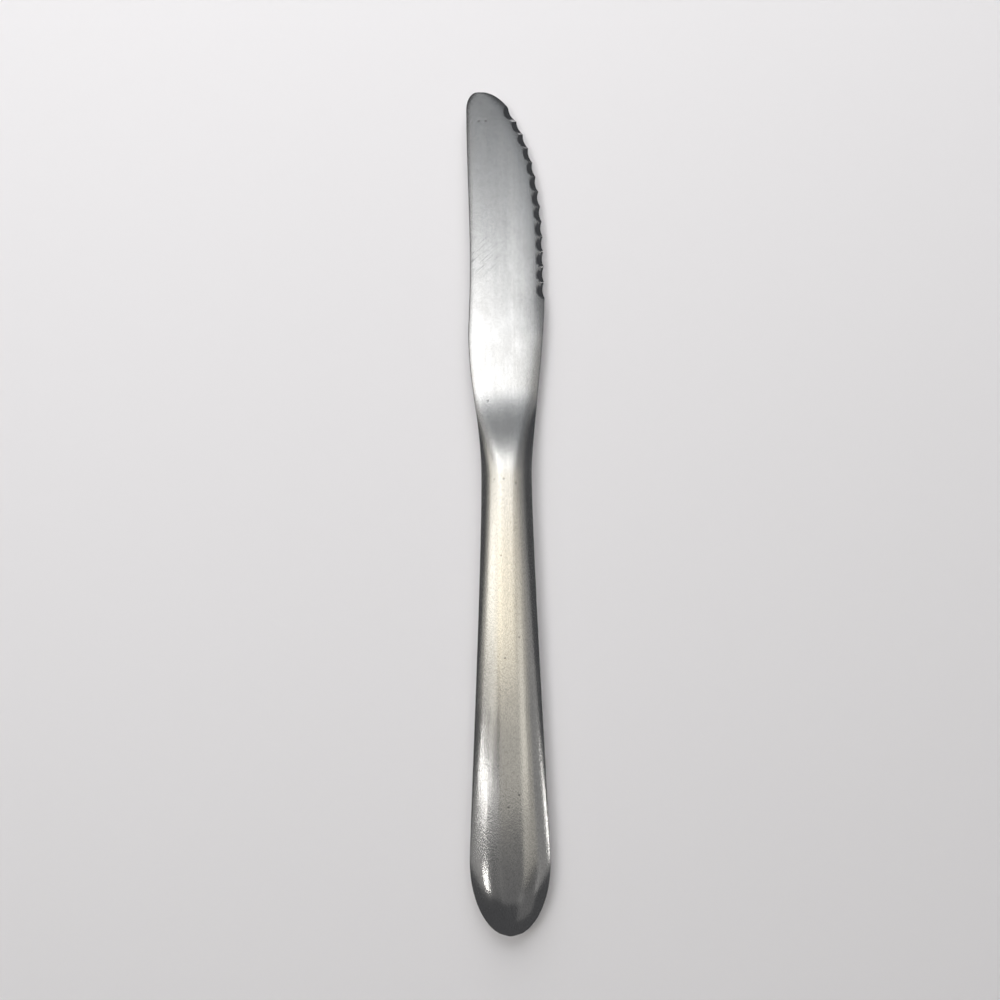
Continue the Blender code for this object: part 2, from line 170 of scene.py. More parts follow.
# Soft boxes: name, edges across and along as seen on a plane one metre over the knife, radiance, colour
LAMP_HEIGHT = 4.0
LAMP_STEP = 0.05
WHITE = (1.0, 0.985, 0.965)
COOL = (0.90, 0.96, 1.0)
CREAM = (1.0, 0.90, 0.70)
PALE_CREAM = (1.0, 0.955, 0.85)
SOFT_BOXES = (
    ("front_left", (-0.35, -0.05), (0.0, 0.25), 1.06, WHITE),
    ("front_middle", (-0.20, 0.10), (0.0, 0.25), 0.70, WHITE),
    ("front_short", (-0.20, 0.10), (0.0, 0.20), 0.56, WHITE),
    ("front_wide", (-0.10, 0.22), (0.10, 0.27), 0.46, WHITE),
    ("front_right", (-0.20, 0.90), (0.0, 0.25), 0.16, WHITE),
    ("front_far", (-0.20, 0.25), (0.10, 0.40), 0.30, COOL),
    ("front_far_right", (-0.20, 0.60), (0.10, 0.48), 0.05, COOL),
    ("front_corner", (0.08, 0.60), (0.30, 0.65), 0.08, COOL),
    ("back_left", (-0.35, -0.05), (-0.15, 0.0), 0.78, CREAM),
    ("back_middle", (-0.20, 0.08), (-0.15, 0.0), 0.84, CREAM),
    ("back_wide", (-0.20, 0.25), (-0.20, 0.0), 0.18, CREAM),
    ("back_right", (-0.20, 0.90), (-0.15, 0.0), 0.16, CREAM),
    ("back_long", (-0.10, 0.40), (-0.12, 0.05), 0.26, CREAM),
    ("back_far", (-0.12, 0.40), (-0.31, -0.12), 0.48, PALE_CREAM),
    ("left", (-0.95, -0.35), (-0.12, 0.04), 1.42, PALE_CREAM),
    ("left_middle", (-1.10, -0.20), (-0.225, 0.03), 0.38, PALE_CREAM),
    ("left_long", (-1.60, -0.20), (-0.225, 0.03), 0.50, PALE_CREAM),
    ("left_front", (-0.70, -0.30), (0.02, 0.30), 0.45, WHITE),
    ("left_low", (-1.30, -0.62), (-0.58, -0.33), 0.22, WHITE),
    ("left_spot", (-1.00, -0.50), (-0.331, -0.305), 6.0, WHITE),
    ("left_soft", (-0.50, -0.33), (-0.312, -0.276), 1.1, WHITE),
    ("left_fade", (-0.50, -0.14), (-0.312, -0.276), 1.1, WHITE),
    ("left_back", (-0.46, -0.08), (-0.55, -0.20), 0.07, WHITE),
    ("butt_spot", (-0.56, -0.47), (-0.485, -0.445), 13.0, WHITE),
    ("right_back", (0.20, 0.60), (-0.40, 0.0), 0.39, PALE_CREAM),
    ("right_low", (0.60, 1.30), (-0.60, 0.0), 0.22, WHITE),
    ("butt_right", (0.10, 0.70), (-1.00, -0.45), 0.08, WHITE),
    ("back_low", (-0.12, 0.24), (-0.60, -0.28), 0.09, WHITE),
    ("rim_line", (1.14, 1.27), (-0.50, -0.385), 4.4, WHITE),
)

# Lamps at places of their own: place, size, radiance or power
GLINT_PLACE = Vector((2.61, -0.93, 1.14))
GLINT_SIZE = 0.13
GLINT_RADIANCE = 5.0
KEY_PLACE = Vector((-0.30, 0.12, 0.60))
KEY_SIZE = 0.26
KEY_POWER = 0.8
FILL_PLACE = Vector((-0.06, 0.62, 0.42))
FILL_SIZE = 0.80
FILL_POWER = 5.4

# Floor and sky
FLOOR_SIZE = 6
FLOOR_COLOUR = (0.80, 0.79, 0.81)
FLOOR_ROUGHNESS = 0.6
FLOOR_GLOSS = 0.2
SKY_COLOUR = (0.086, 0.087, 0.092)

# Finishes: tones, sizes of their features along X, Y and Z, heights of their bumps
HANDLE_TONES = ((0.605, 0.600, 0.588), (0.655, 0.649, 0.634))
HANDLE_GRAIN_TONE = (0.40, 0.395, 0.38)
# Painted shade in the dents of the handle
HANDLE_PAINTED_DENT_SHADE = (0.24, 0.23, 0.22)
HANDLE_ROUGHNESS = (0.105, 0.22)
HANDLE_SMUDGE_ROUGHNESS = 0.04
HANDLE_GRAIN = (0.00026, 0.00060, 0.00026)
HANDLE_GRAIN_HEIGHT = 0.000010
HANDLE_STREAK = (0.00042, 0.0090, 0.00042)
HANDLE_STREAK_HEIGHT = 0.000006
HANDLE_SMUDGE = (0.0050, 0.0110, 0.0050)
WORN_LENGTH = 0.0450
BLADE_TONES = ((0.660, 0.663, 0.670), (0.715, 0.715, 0.715))
BLADE_BRUSH_TONE = (0.44, 0.44, 0.44)
BLADE_MOTTLE_TONE = (0.40, 0.40, 0.40)
BLADE_SMUDGE_TONE = (0.46, 0.46, 0.46)
# Painted shade in the dents of the blade
BLADE_PAINTED_DENT_SHADE = (0.24, 0.24, 0.24)
# Painted shade on the steep faces of the flutes and rims
BLADE_PAINTED_STEEP_SHADE = (0.42, 0.42, 0.43)
BLADE_ROUGHNESS = (0.215, 0.265)
BLADE_BRUSH = (0.00045, 0.0160, 0.00045)
BLADE_BRUSH_HEIGHT = 0.000003
BLADE_BAND = (0.0026, 0.0600, 0.0026)
BLADE_SMUDGE = (0.0035, 0.0065, 0.0035)
BLADE_MOTTLE = (0.00055, 0.00070, 0.00055)
BLADE_MOTTLE_HEIGHT = 0.000005
SCRATCH = (0.00022, 0.0100, 0.00022)
SCRATCH_TONE = (0.30, 0.30, 0.31)
SCRATCH_TURN = math.radians(-48)
SCRATCH_PLACE = (-0.0055, 0.1740)
SCRATCH_REACH = 0.0060
PIT_RADIUS = 0.00040
PIT_DEPTH = 0.000012
NECK_BLEND = 0.0200
STEEP_ANGLES = (math.radians(16), math.radians(28))
STEEP_POLISH = 0.10
CEMENT_TONES = ((0.46, 0.44, 0.40), (0.58, 0.56, 0.52))
CEMENT_SAND = (0.0006, 0.0006, 0.0006)
CEMENT_SAND_HEIGHT = 0.0001
CEMENT_ROUGHNESS = (0.75, 0.95)
FINE_DETAIL = 2.0
SCRATCH_DETAIL = 1.0
HANDLE_SMUDGE_DETAIL = 3.0
BLADE_SMUDGE_DETAIL = 4.0
CEMENT_DETAIL = 4.0
HANDLE_GRAIN_SHARE = 0.42
BLADE_BRUSH_SHARE = 0.12
BLADE_MOTTLE_SHARE = 0.20
BLADE_SMUDGE_SHARE = 0.30
SCRATCH_SHARE = 0.8
PIT_SHARE_LEAST = 0.4
STEEP_SHADE_SHARE = 0.5
BLADE_PITS = ((-0.0063, 0.2089), (-0.0045, 0.2089), (-0.0046, 0.1372))
HANDLE_PITS = ((-0.0032, 0.1170), (-0.0007, 0.1170), (0.0024, 0.1160), (-0.0016, 0.0975), (0.0028, 0.0768),
               (-0.0008, 0.0714), (0.0024, 0.0366), (-0.0003, 0.0335))

# Spans of noise over which the finishes change
MIDDLE_SPAN = (0.3, 0.7)
WIDE_SPAN = (0.2, 0.8)
GRAIN_SPAN = (0.28, 0.55)
PIT_SPAN = (0.35, 0.60)
BRUSH_SPAN = (0.3, 0.5)
SCRATCH_SPAN = (0.56, 0.64)
SAND_SPAN = (0.35, 0.65)


def eased(start, end, start_reach, end_reach):
    """Curve through two (y, value) points that leaves and arrives level, as a function of y."""
    (y0, v0), (y1, v1) = start, end
    span = y1 - y0
    knots = [(y0, v0), (y0 + start_reach * span, v0), (y1 - end_reach * span, v1), (y1, v1)]
    curve = interpolate_bezier(*[Vector((y, v, 0)) for y, v in knots], CURVE_SAMPLES)
    places = [point.x for point in curve]
    values = [point.y for point in curve]
    return lambda y: float(np.interp(y, places, values))


def ramp(low, high, y):
    """Share of the way from low to high, held at both ends."""
    return min(max((y - low) / (high - low), 0.0), 1.0)


def mix(a, b, share):
    return a + (b - a) * share


taper = eased((BUTT_LENGTH, BUTT_WIDTH / 2), (HANDLE_LENGTH, NECK_WIDTH / 2),
              TAPER_START_REACH, TAPER_END_REACH)
spine_flare = eased((SHOULDER, NECK_WIDTH / 2), (SPINE_HEEL, SPINE_OFFSET),
                    SPINE_FLARE_REACH, SPINE_FLARE_REACH)
edge_flare = eased((SHOULDER, NECK_WIDTH / 2), (EDGE_HEEL, EDGE_OFFSET),
                   EDGE_FLARE_START_REACH, EDGE_FLARE_END_REACH)
neck_fall = eased((SHOULDER, HANDLE_THICKNESS / 2), (RAMP_END, BLADE_THICKNESS_ROOT / 2),
                  RAMP_REACH, RAMP_REACH)


def spine_side(y):
    """Distance from the axis to the spine: flare, shallow waist, then the rounded corner at the tip."""
    if y < SPINE_HEEL:
        return spine_flare(y)
    along = ramp(SPINE_HEEL, TIP_CORNER, y)
    side = SPINE_OFFSET - SPINE_WAIST * math.sin(math.pi * along ** WAIST_SKEW) ** 2
    corner = ramp(TIP_CORNER, TIP, y)
    return side - TIP_CORNER_WIDTH * (1 - math.sqrt(1 - corner ** 2))


def edge_side(y):
    """Distance from the axis to the line of the tooth points: flare, then the belly up to the tip."""
    if y < EDGE_HEEL:
        return edge_flare(y)
    along = ramp(EDGE_HEEL, TIP, y)
    return (EDGE_OFFSET + TIP_OFFSET) * (1 - along ** BELLY_POWER) ** (1 / BELLY_TURN_POWER) - TIP_OFFSET


def blade_half_thickness(y):
    """Fall of the neck, even taper of the blade and the rounding at the very tip."""
    if y < RAMP_END:
        return neck_fall(y)
    half = mix(BLADE_THICKNESS_ROOT, BLADE_THICKNESS_TIP, ramp(RAMP_END, TIP, y)) / 2
    end = ramp(TIP - TIP_RADIUS, TIP, y)
    return half - TIP_RADIUS * (1 - math.sqrt(1 - end ** 2))


def edge_half_thickness(y):
    """Blunt up to the plunge at the heel, thin along the scallops, thicker again at the tip."""
    thickness = np.interp(y, EDGE_PLACES, EDGE_THICKNESSES)
    return float(thickness) / 2


def rim_tilt(half, land, height, rim, slope, wall):
    """Slope angle at which the crown runs into the round rim, found by repeated improvement."""
    tilt = 0.0
    for _ in range(TILT_ROUNDS):
        drop = height - wall - rim * math.cos(tilt)
        tilt = math.atan(slope * drop / (half - rim * (1 - math.sin(tilt)) - land))
    return tilt


def section_side(half, land, height, rim, power, wall, lean=0.0):
    """One side of a section as (x, z) pairs: a crown that falls from the land, a round rim and a wall.

    Lean is the share of the crown's fall that is even, so that it leaves the land at a slight crease.
    """
    tilt = rim_tilt(half, land, height, rim, mix(power, 1, lean), wall)
    brow, brow_height = half - rim * (1 - math.sin(tilt)), wall + rim * math.cos(tilt)
    out = np.linspace(0, 1, CROWN_STEPS + 1)
    turn = np.linspace(tilt, math.pi / 2, RIM_STEPS + 1)[1:]
    xs = np.concatenate([mix(land, brow, out), half - rim + rim * np.sin(turn)])
    fall = (height - brow_height) * mix(out ** power, out, lean)
    zs = np.concatenate([height - fall, wall + rim * np.cos(turn)])
    return np.column_stack([xs, zs])


def half_section(left_side, right_side):
    """Half section above the seam plane, from the left wall over the top to the right wall."""
    return np.vstack([left_side[::-1] * (-1, 1), right_side])


def blade_arc(y):
    """Half section of the neck and blade: the oval at the shoulder changes into the ground plate."""
    left, right, height = spine_side(y), edge_side(y), blade_half_thickness(y)
    edge = min(edge_half_thickness(y), EDGE_SHARE_MOST * height)
    crest = right - min(GRIND_WIDTH, GRIND_SHARE_MOST * (left + right))
    crest_half = min(CREST_WIDTH / 2, CREST_SHARE_MOST * (left + right))
    spine_round = min(SPINE_RADIUS, height / 2)
    edge_round = min(EDGE_RADIUS, EDGE_ROUND_SHARE * edge)
    spine_wall = height - CHEEK_CROWN - spine_round
    edge_wall = edge - edge_round
    share = ramp(SHOULDER, RAMP_END, y)
    share = share * share * (3 - 2 * share)
    oval_round = RIM_SHARE_NECK * height
    oval_wall = SIDE_WALL * height / (HANDLE_THICKNESS / 2)
    power = mix(CROWN_POWER_NECK, GRIND_POWER, share)
    lean = GRIND_LEAN * share ** LEAN_POWER
    left_land = mix(LAND_SHARE * left, crest_half - crest, share)
    right_land = mix(LAND_SHARE * right, crest_half + crest, share)
    left_round = mix(oval_round, spine_round, share)
    right_round = mix(oval_round, edge_round, share)
    left_wall = mix(oval_wall, spine_wall, share)
    right_wall = mix(oval_wall, edge_wall, share)
    return half_section(section_side(left, left_land, height, left_round, power, left_wall, lean),
                        section_side(right, right_land, height, right_round, power, right_wall, lean))


def handle_row(row, inset):
    """Place and half width of one row of the handle, moved in by inset."""
    if row <= BUTT_ROWS:
        turn = math.pi / 2 * row / BUTT_ROWS
        y = BUTT_LENGTH - (BUTT_LENGTH - inset) * math.cos(turn)
        return y, (BUTT_WIDTH / 2 - inset) * math.sin(turn)
    y = mix(BUTT_LENGTH, HANDLE_LENGTH, (row - BUTT_ROWS) / TAPER_ROWS)
    return y, taper(y) - inset


def handle_arc(row, inset):
    """Place and half section of one row of the handle, moved in by inset; the top falls to the butt."""
    y, half = handle_row(row, inset)
    top = HANDLE_THICKNESS / 2 - inset
    butt_rim = max(RIM_SHARE_BUTT * HANDLE_THICKNESS / 2 - inset, RIM_LEAST)
    fall = section_side(BUTT_CROWN_LENGTH - inset, 0.0, top, butt_rim, CROWN_POWER_BUTT, SIDE_WALL)
    height = float(np.interp(y, BUTT_CROWN_LENGTH - fall[::-1, 0], fall[::-1, 1]))
    wall = min(SIDE_WALL, WALL_SHARE_MOST * height)
    along = ramp(BUTT_LENGTH, HANDLE_LENGTH, y)
    rim = mix(RIM_SHARE_BUTT, RIM_SHARE_NECK, along ** RIM_FADE_POWER) * HANDLE_THICKNESS / 2 - inset
    rim = min(max(rim, RIM_LEAST), (height - wall) / 2, half / 2)
    power = mix(CROWN_POWER_BUTT, CROWN_POWER_NECK, along)
    side = section_side(half, LAND_SHARE * half, height, rim, power, wall)
    side = np.vstack([side, (half, SEAM_HALF)])
    return y, half_section(side, side)


def add_verts(bm, points, y, side=1):
    return [bm.verts.new((AXIS_X + x, BUTT + y, SEAM_Z + side * z)) for x, z in points]


def closed_ring(bm, arc, y):
    """Ring of vertices round a whole section that is the same above and below the seam plane."""
    return add_verts(bm, np.vstack([arc, arc[::-1] * (1, -1)]), y)


def skin(bm, rings):
    """Faces between neighbouring closed rings; repeated vertices in a ring give triangles."""
    for first, second in zip(rings, rings[1:]):
        for k in range(len(first)):
            n = (k + 1) % len(first)
            corners = dict.fromkeys((first[k], first[n], second[n], second[k]))
            if len(corners) > 2:
                bm.faces.new(list(corners))


def new_mesh_object(name, bm):
    bmesh.ops.recalc_face_normals(bm, faces=bm.faces)
    mesh = bpy.data.meshes.new(name)
    bm.to_mesh(mesh)
    bm.free()
    obj = bpy.data.objects.new(name, mesh)
    bpy.context.scene.collection.objects.link(obj)
    return obj


def shade(obj):
    obj.data.shade_smooth()
    obj.data.set_sharp_from_angle(angle=SHARP_ANGLE)


def place(obj, node, material):
    """Ride the piece on the knife's one body in place of its CAD node."""
    shade(obj)
    obj.data.materials.append(material)
    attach(obj, "root")
    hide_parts(node)


def blade_stations():
    """Places of the blade's sections, close together on the ramp and towards the tip."""
    neck = np.linspace(SHOULDER - HAIRLINE, RAMP_END, RAMP_ROWS + 1)
    body = np.linspace(RAMP_END, EDGE_HEEL, BODY_ROWS + 1)[1:]
    turn = np.linspace(0, math.pi / 2, TIP_ROWS + 1)[1:]
    return np.concatenate([neck, body, EDGE_HEEL + (TIP - EDGE_HEEL) * np.sin(turn)])


def edge_path():
    """Points along the line of the tooth points from the heel to the tip, with their lengths of arc."""
    turn = np.linspace(0, math.pi / 2, CURVE_SAMPLES)
    along = np.sin(turn) ** (2 / BELLY_POWER)
    across = np.cos(turn) ** (2 / BELLY_TURN_POWER)
    xs = (EDGE_OFFSET + TIP_OFFSET) * across - TIP_OFFSET
    ys = mix(EDGE_HEEL, TIP, along)
    lengths = np.concatenate([[0], np.cumsum(np.hypot(np.diff(xs), np.diff(ys)))])
    return xs, ys, lengths


def flute_line(depth, rise):
    """Points across and along one flute at a height over the lower face, then its clear outer corners."""
    along = np.linspace(-FLUTE_REACH, FLUTE_REACH, FLUTE_STEPS + 1)
    across = FLUTE_BOW * (2 * along) ** 2 - depth - rise * math.tan(SCALLOP_TILT)
    reach = FLUTE_REACH * SCALLOP_PITCH
    return list(zip(across, along * SCALLOP_PITCH)) + [(FLUTE_CLEARANCE, reach), (FLUTE_CLEARANCE, -reach)]


def flute_cutter(name, foot, turned, depth):
    """Cutter for one flute, from under the blade's lower face to over its upper one."""
    turn = Matrix.Rotation(turned, 4, "Z")
    bm = bmesh.new()
    rings = []
    for rise in (-FLUTE_MARGIN, FLUTE_RISE + FLUTE_MARGIN):
        corners = [Vector((across, along, rise)) for across, along in flute_line(depth, rise)]
        rings.append([bm.verts.new(foot + turn @ corner) for corner in corners])
    skin(bm, rings)
    bm.faces.new(rings[0])
    bm.faces.new(rings[1])
    bmesh.ops.triangulate(bm, faces=bm.faces)
    return new_mesh_object(name, bm)


def scallop_cutters():
    """Cutters at an even pitch from the heel to the plain tip, deepest on the upper cheek."""
    xs, ys, lengths = edge_path()
    made = []
    for k in range(int((lengths[-1] - PLAIN_TIP_LENGTH) / SCALLOP_PITCH)):
        middle = (k + 0.5) * SCALLOP_PITCH
        ends = (middle - SCALLOP_PITCH / 2, min(middle + SCALLOP_PITCH / 2, lengths[-1]))
        x, y = np.interp(middle, lengths, xs), np.interp(middle, lengths, ys)
        rise = np.interp(ends[1], lengths, ys) - np.interp(ends[0], lengths, ys)
        run = np.interp(ends[1], lengths, xs) - np.interp(ends[0], lengths, xs)
        normal_angle = math.atan2(-run, rise)
        turned = SCALLOP_FOLLOW * normal_angle
        depth = SCALLOP_DEPTH / math.cos(normal_angle - turned)
        foot = Vector((AXIS_X + x, BUTT + y, SEAM_Z - edge_half_thickness(y)))
        made.append(flute_cutter(f"scallop_cutter_{k + 1:02d}", foot, turned, depth))
    return made


def cut_scallops(blade):
    """Cut the scallops out of the blade's mesh and remove the cutters."""
    cutters = scallop_cutters()
    collection = bpy.data.collections.new("scallop_cutters")
    for cutter in cutters:
        collection.objects.link(cutter)
    cut = blade.modifiers.new("scallops", "BOOLEAN")
    cut.operand_type = "COLLECTION"
    cut.collection = collection
    cut.solver = "EXACT"
    bpy.context.view_layer.update()
    evaluated = blade.evaluated_get(bpy.context.evaluated_depsgraph_get())
    mesh = bpy.data.meshes.new_from_object(evaluated)
    blade.modifiers.clear()
    blade.data = mesh
    for cutter in cutters:
        bpy.data.objects.remove(cutter, do_unlink=True)
    bpy.data.collections.remove(collection)


def make_blade(material):
    """Neck and blade from the shoulder to the tip, without the tang, which is out of sight."""
    bm = bmesh.new()
    rings = [closed_ring(bm, blade_arc(y), y) for y in blade_stations()]
    skin(bm, rings)
    bm.faces.new(rings[0])
    bm.faces.new(rings[-1])
    blade = new_mesh_object("satin_blade", bm)
    cut_scallops(blade)
    place(blade, "blade", material)


def make_shell(name, node, side, material):
    """Half shell: an outer and an inner crowned skin joined by a flat seam rim and a flat mouth rim."""
    bm = bmesh.new()
    rings = []
    for row in range(BUTT_ROWS + TAPER_ROWS + 1):
        skins = []
        for inset in (0.0, SHELL_WALL):
            if row == 0:
                foot, top = add_verts(bm, [(0, SEAM_HALF), (0, SIDE_WALL)], inset, side)
                skins.append([foot] + [top] * (SECTION_POINTS - 2) + [foot])
            else:
                y, arc = handle_arc(row, inset)
                skins.append(add_verts(bm, arc, y, side))
        rings.append(skins[0] + skins[1][::-1])
    skin(bm, rings)
    mouth = rings[-1]
    for k in range(len(mouth) // 2 - 1):
        bm.faces.new((mouth[k], mouth[k + 1], mouth[-k - 2], mouth[-k - 1]))
    place(new_mesh_object(name, bm), node, material)


def make_seam_line(material):
    """Braze line that fills the seam flush with both half shells."""
    bm = bmesh.new()
    half = SEAM_HALF - HAIRLINE
    rows = range(BUTT_ROWS + TAPER_ROWS + 1)
    rims = [[handle_row(row, inset) for inset in (0.0, SHELL_WALL)] for row in rows]
    path = [(-1, rim) for rim in rims[::-1]] + [(1, rim) for rim in rims[1:]]
    loops = []
    for side, ((y_out, w_out), (y_in, w_in)) in path:
        outer = [(side * w_out, half), (side * w_out, -half)]
        inner = [(side * w_in, -half), (side * w_in, half)]
        loops.append(add_verts(bm, outer, y_out) + add_verts(bm, inner, y_in))
    skin(bm, loops)
    bm.faces.new(loops[0])
    bm.faces.new(loops[-1])
    place(new_mesh_object("seam_line", bm), "seam_braze", material)


def make_neck_line(material):
    """Braze ring that fills the joint between the handle's mouth and the blade, flush with both."""
    bm = bmesh.new()
    last = BUTT_ROWS + TAPER_ROWS
    back, front = HANDLE_LENGTH + HAIRLINE, SHOULDER - 2 * HAIRLINE
    outer, inner = handle_arc(last, 0.0)[1], handle_arc(last, SHELL_WALL)[1]
    corners = ((outer, back), (outer, front), (inner, front), (inner, back))
    rings = [closed_ring(bm, arc, y) for arc, y in corners]
    skin(bm, rings + rings[:1])
    place(new_mesh_object("neck_line", bm), "neck_braze", material)


def add_node(tree, kind, values):
    """New node with its inputs set to values or linked to other nodes' outputs."""
    node = tree.nodes.new(kind)
    for name, value in values.items():
        if isinstance(value, bpy.types.NodeSocket):
            tree.links.new(value, node.inputs[name])
        else:
            node.inputs[name].default_value = value
    return node


def shaded_point(tree):
    """Place of the point that is being shaded."""
    return tree.nodes.new("ShaderNodeTexCoord").outputs["Object"]


def noise(tree, size, detail, turn=0.0):
    """Noise with features of the given size along X, Y and Z, turned about Z."""
    point = shaded_point(tree)
    mapping = add_node(tree, "ShaderNodeMapping", {"Vector": point, "Rotation": (0, 0, turn)})
    mapping.vector_type = "TEXTURE"
    mapping.inputs["Scale"].default_value = size
    values = {"Vector": mapping.outputs["Vector"], "Scale": 1.0, "Detail": detail}
    return add_node(tree, "ShaderNodeTexNoise", values).outputs["Fac"]


def remap(tree, value, start, end, low, high):
    """Value that goes from low to high, and no further, as the given one goes from start to end."""
    values = {"Value": value, "From Min": start, "From Max": end, "To Min": low, "To Max": high}
    return add_node(tree, "ShaderNodeMapRange", values).outputs["Result"]


def combine(tree, operation, first, second):
    node = tree.nodes.new("ShaderNodeMath")
    node.operation = operation
    tree.links.new(first, node.inputs[0])
    tree.links.new(second, node.inputs[1])
    return node.outputs["Value"]


def blend_tones(tree, share, first, second):
    """Colour between two, where each is a colour or another node's output."""
    node = tree.nodes.new("ShaderNodeMix")
    node.data_type = "RGBA"
    sockets = [socket for socket in node.inputs if socket.type == "RGBA"]
    tree.links.new(share, node.inputs["Factor"])
    for socket, colour in zip(sockets, (first, second)):
        if isinstance(colour, bpy.types.NodeSocket):
            tree.links.new(colour, socket)
        else:
            socket.default_value = (*colour, 1)
    return next(socket for socket in node.outputs if socket.type == "RGBA")


def bump(tree, height, depth, normal=None):
    values = {"Height": height, "Distance": depth}
    if normal:
        values["Normal"] = normal
    return add_node(tree, "ShaderNodeBump", values).outputs["Normal"]


def near(tree, spot, radius):
    """One at a place on the knife, fading to nothing at the radius."""
    point = shaded_point(tree)
    gap = tree.nodes.new("ShaderNodeVectorMath")
    gap.operation = "DISTANCE"
    tree.links.new(point, gap.inputs[0])
    gap.inputs[1].default_value = spot
    return remap(tree, gap.outputs["Value"], 0.0, radius, 1.0, 0.0)


def lengthwise(tree):
    """Y of the point that is being shaded, which runs along the knife."""
    return add_node(tree, "ShaderNodeSeparateXYZ", {"Vector": shaded_point(tree)}).outputs["Y"]


def steepness(tree):
    """One on steep faces such as the flutes and the rims, nothing on the cheeks."""
    facing = tree.nodes.new("ShaderNodeNewGeometry").outputs["True Normal"]
    upward = add_node(tree, "ShaderNodeSeparateXYZ", {"Vector": facing}).outputs["Z"]
    level = tree.nodes.new("ShaderNodeMath")
    level.operation = "ABSOLUTE"
    tree.links.new(upward, level.inputs[0])
    start, end = math.cos(STEEP_ANGLES[0]), math.cos(STEEP_ANGLES[1])
    return remap(tree, level.outputs["Value"], start, end, 0.0, 1.0)


def pits(tree, places, height):
    """Small dents at the given places on the upper side."""
    marks = [near(tree, (AXIS_X + x, BUTT + y, SEAM_Z + height(y)), PIT_RADIUS) for x, y in places]
    total = marks[0]
    for mark in marks[1:]:
        total = combine(tree, "MAXIMUM", total, mark)
    return total


def new_material(name):
    material = bpy.data.materials.new(name)
    material.use_nodes = True
    return material.node_tree, material.node_tree.nodes["Principled BSDF"], material


def link(tree, shader, **sockets):
    for name, value in sockets.items():
        tree.links.new(value, shader.inputs[name.replace("_", " ")])


def handle_finish():
    """Tumbled satin steel, worn smoother at the butt: fine grain, streaks, smudges and a few dents with
    painted shade in them.
    """
    tree, shader, material = new_material("handle_satin")
    shader.inputs["Metallic"].default_value = 1.0
    grain = noise(tree, HANDLE_GRAIN, FINE_DETAIL)
    streak = noise(tree, HANDLE_STREAK, FINE_DETAIL)
    smudge = noise(tree, HANDLE_SMUDGE, HANDLE_SMUDGE_DETAIL)
    dents = pits(tree, HANDLE_PITS, lambda y: HANDLE_THICKNESS / 2)
    tone = blend_tones(tree, remap(tree, smudge, *MIDDLE_SPAN, 0.0, 1.0), *HANDLE_TONES)
    tone = blend_tones(tree, remap(tree, grain, *GRAIN_SPAN, HANDLE_GRAIN_SHARE, 0.0),
                       tone, HANDLE_GRAIN_TONE)
    # Painted shade in the dents, broken up by the grain
    painted_dent_shade = combine(tree, "MULTIPLY", dents, remap(tree, grain, *PIT_SPAN, PIT_SHARE_LEAST, 1.0))
    tone = blend_tones(tree, painted_dent_shade, tone, HANDLE_PAINTED_DENT_SHADE)
    normal = bump(tree, grain, HANDLE_GRAIN_HEIGHT)
    normal = bump(tree, streak, HANDLE_STREAK_HEIGHT, normal)
    normal = bump(tree, remap(tree, dents, 0.0, 1.0, 1.0, 0.0), PIT_DEPTH, normal)
    rough = remap(tree, lengthwise(tree), BUTT + WORN_LENGTH, BUTT + HANDLE_LENGTH, *HANDLE_ROUGHNESS)
    rough = combine(tree, "ADD", rough, remap(tree, smudge, *WIDE_SPAN, 0.0, HANDLE_SMUDGE_ROUGHNESS))
    link(tree, shader, Base_Color=tone, Roughness=rough, Normal=normal)
    return material


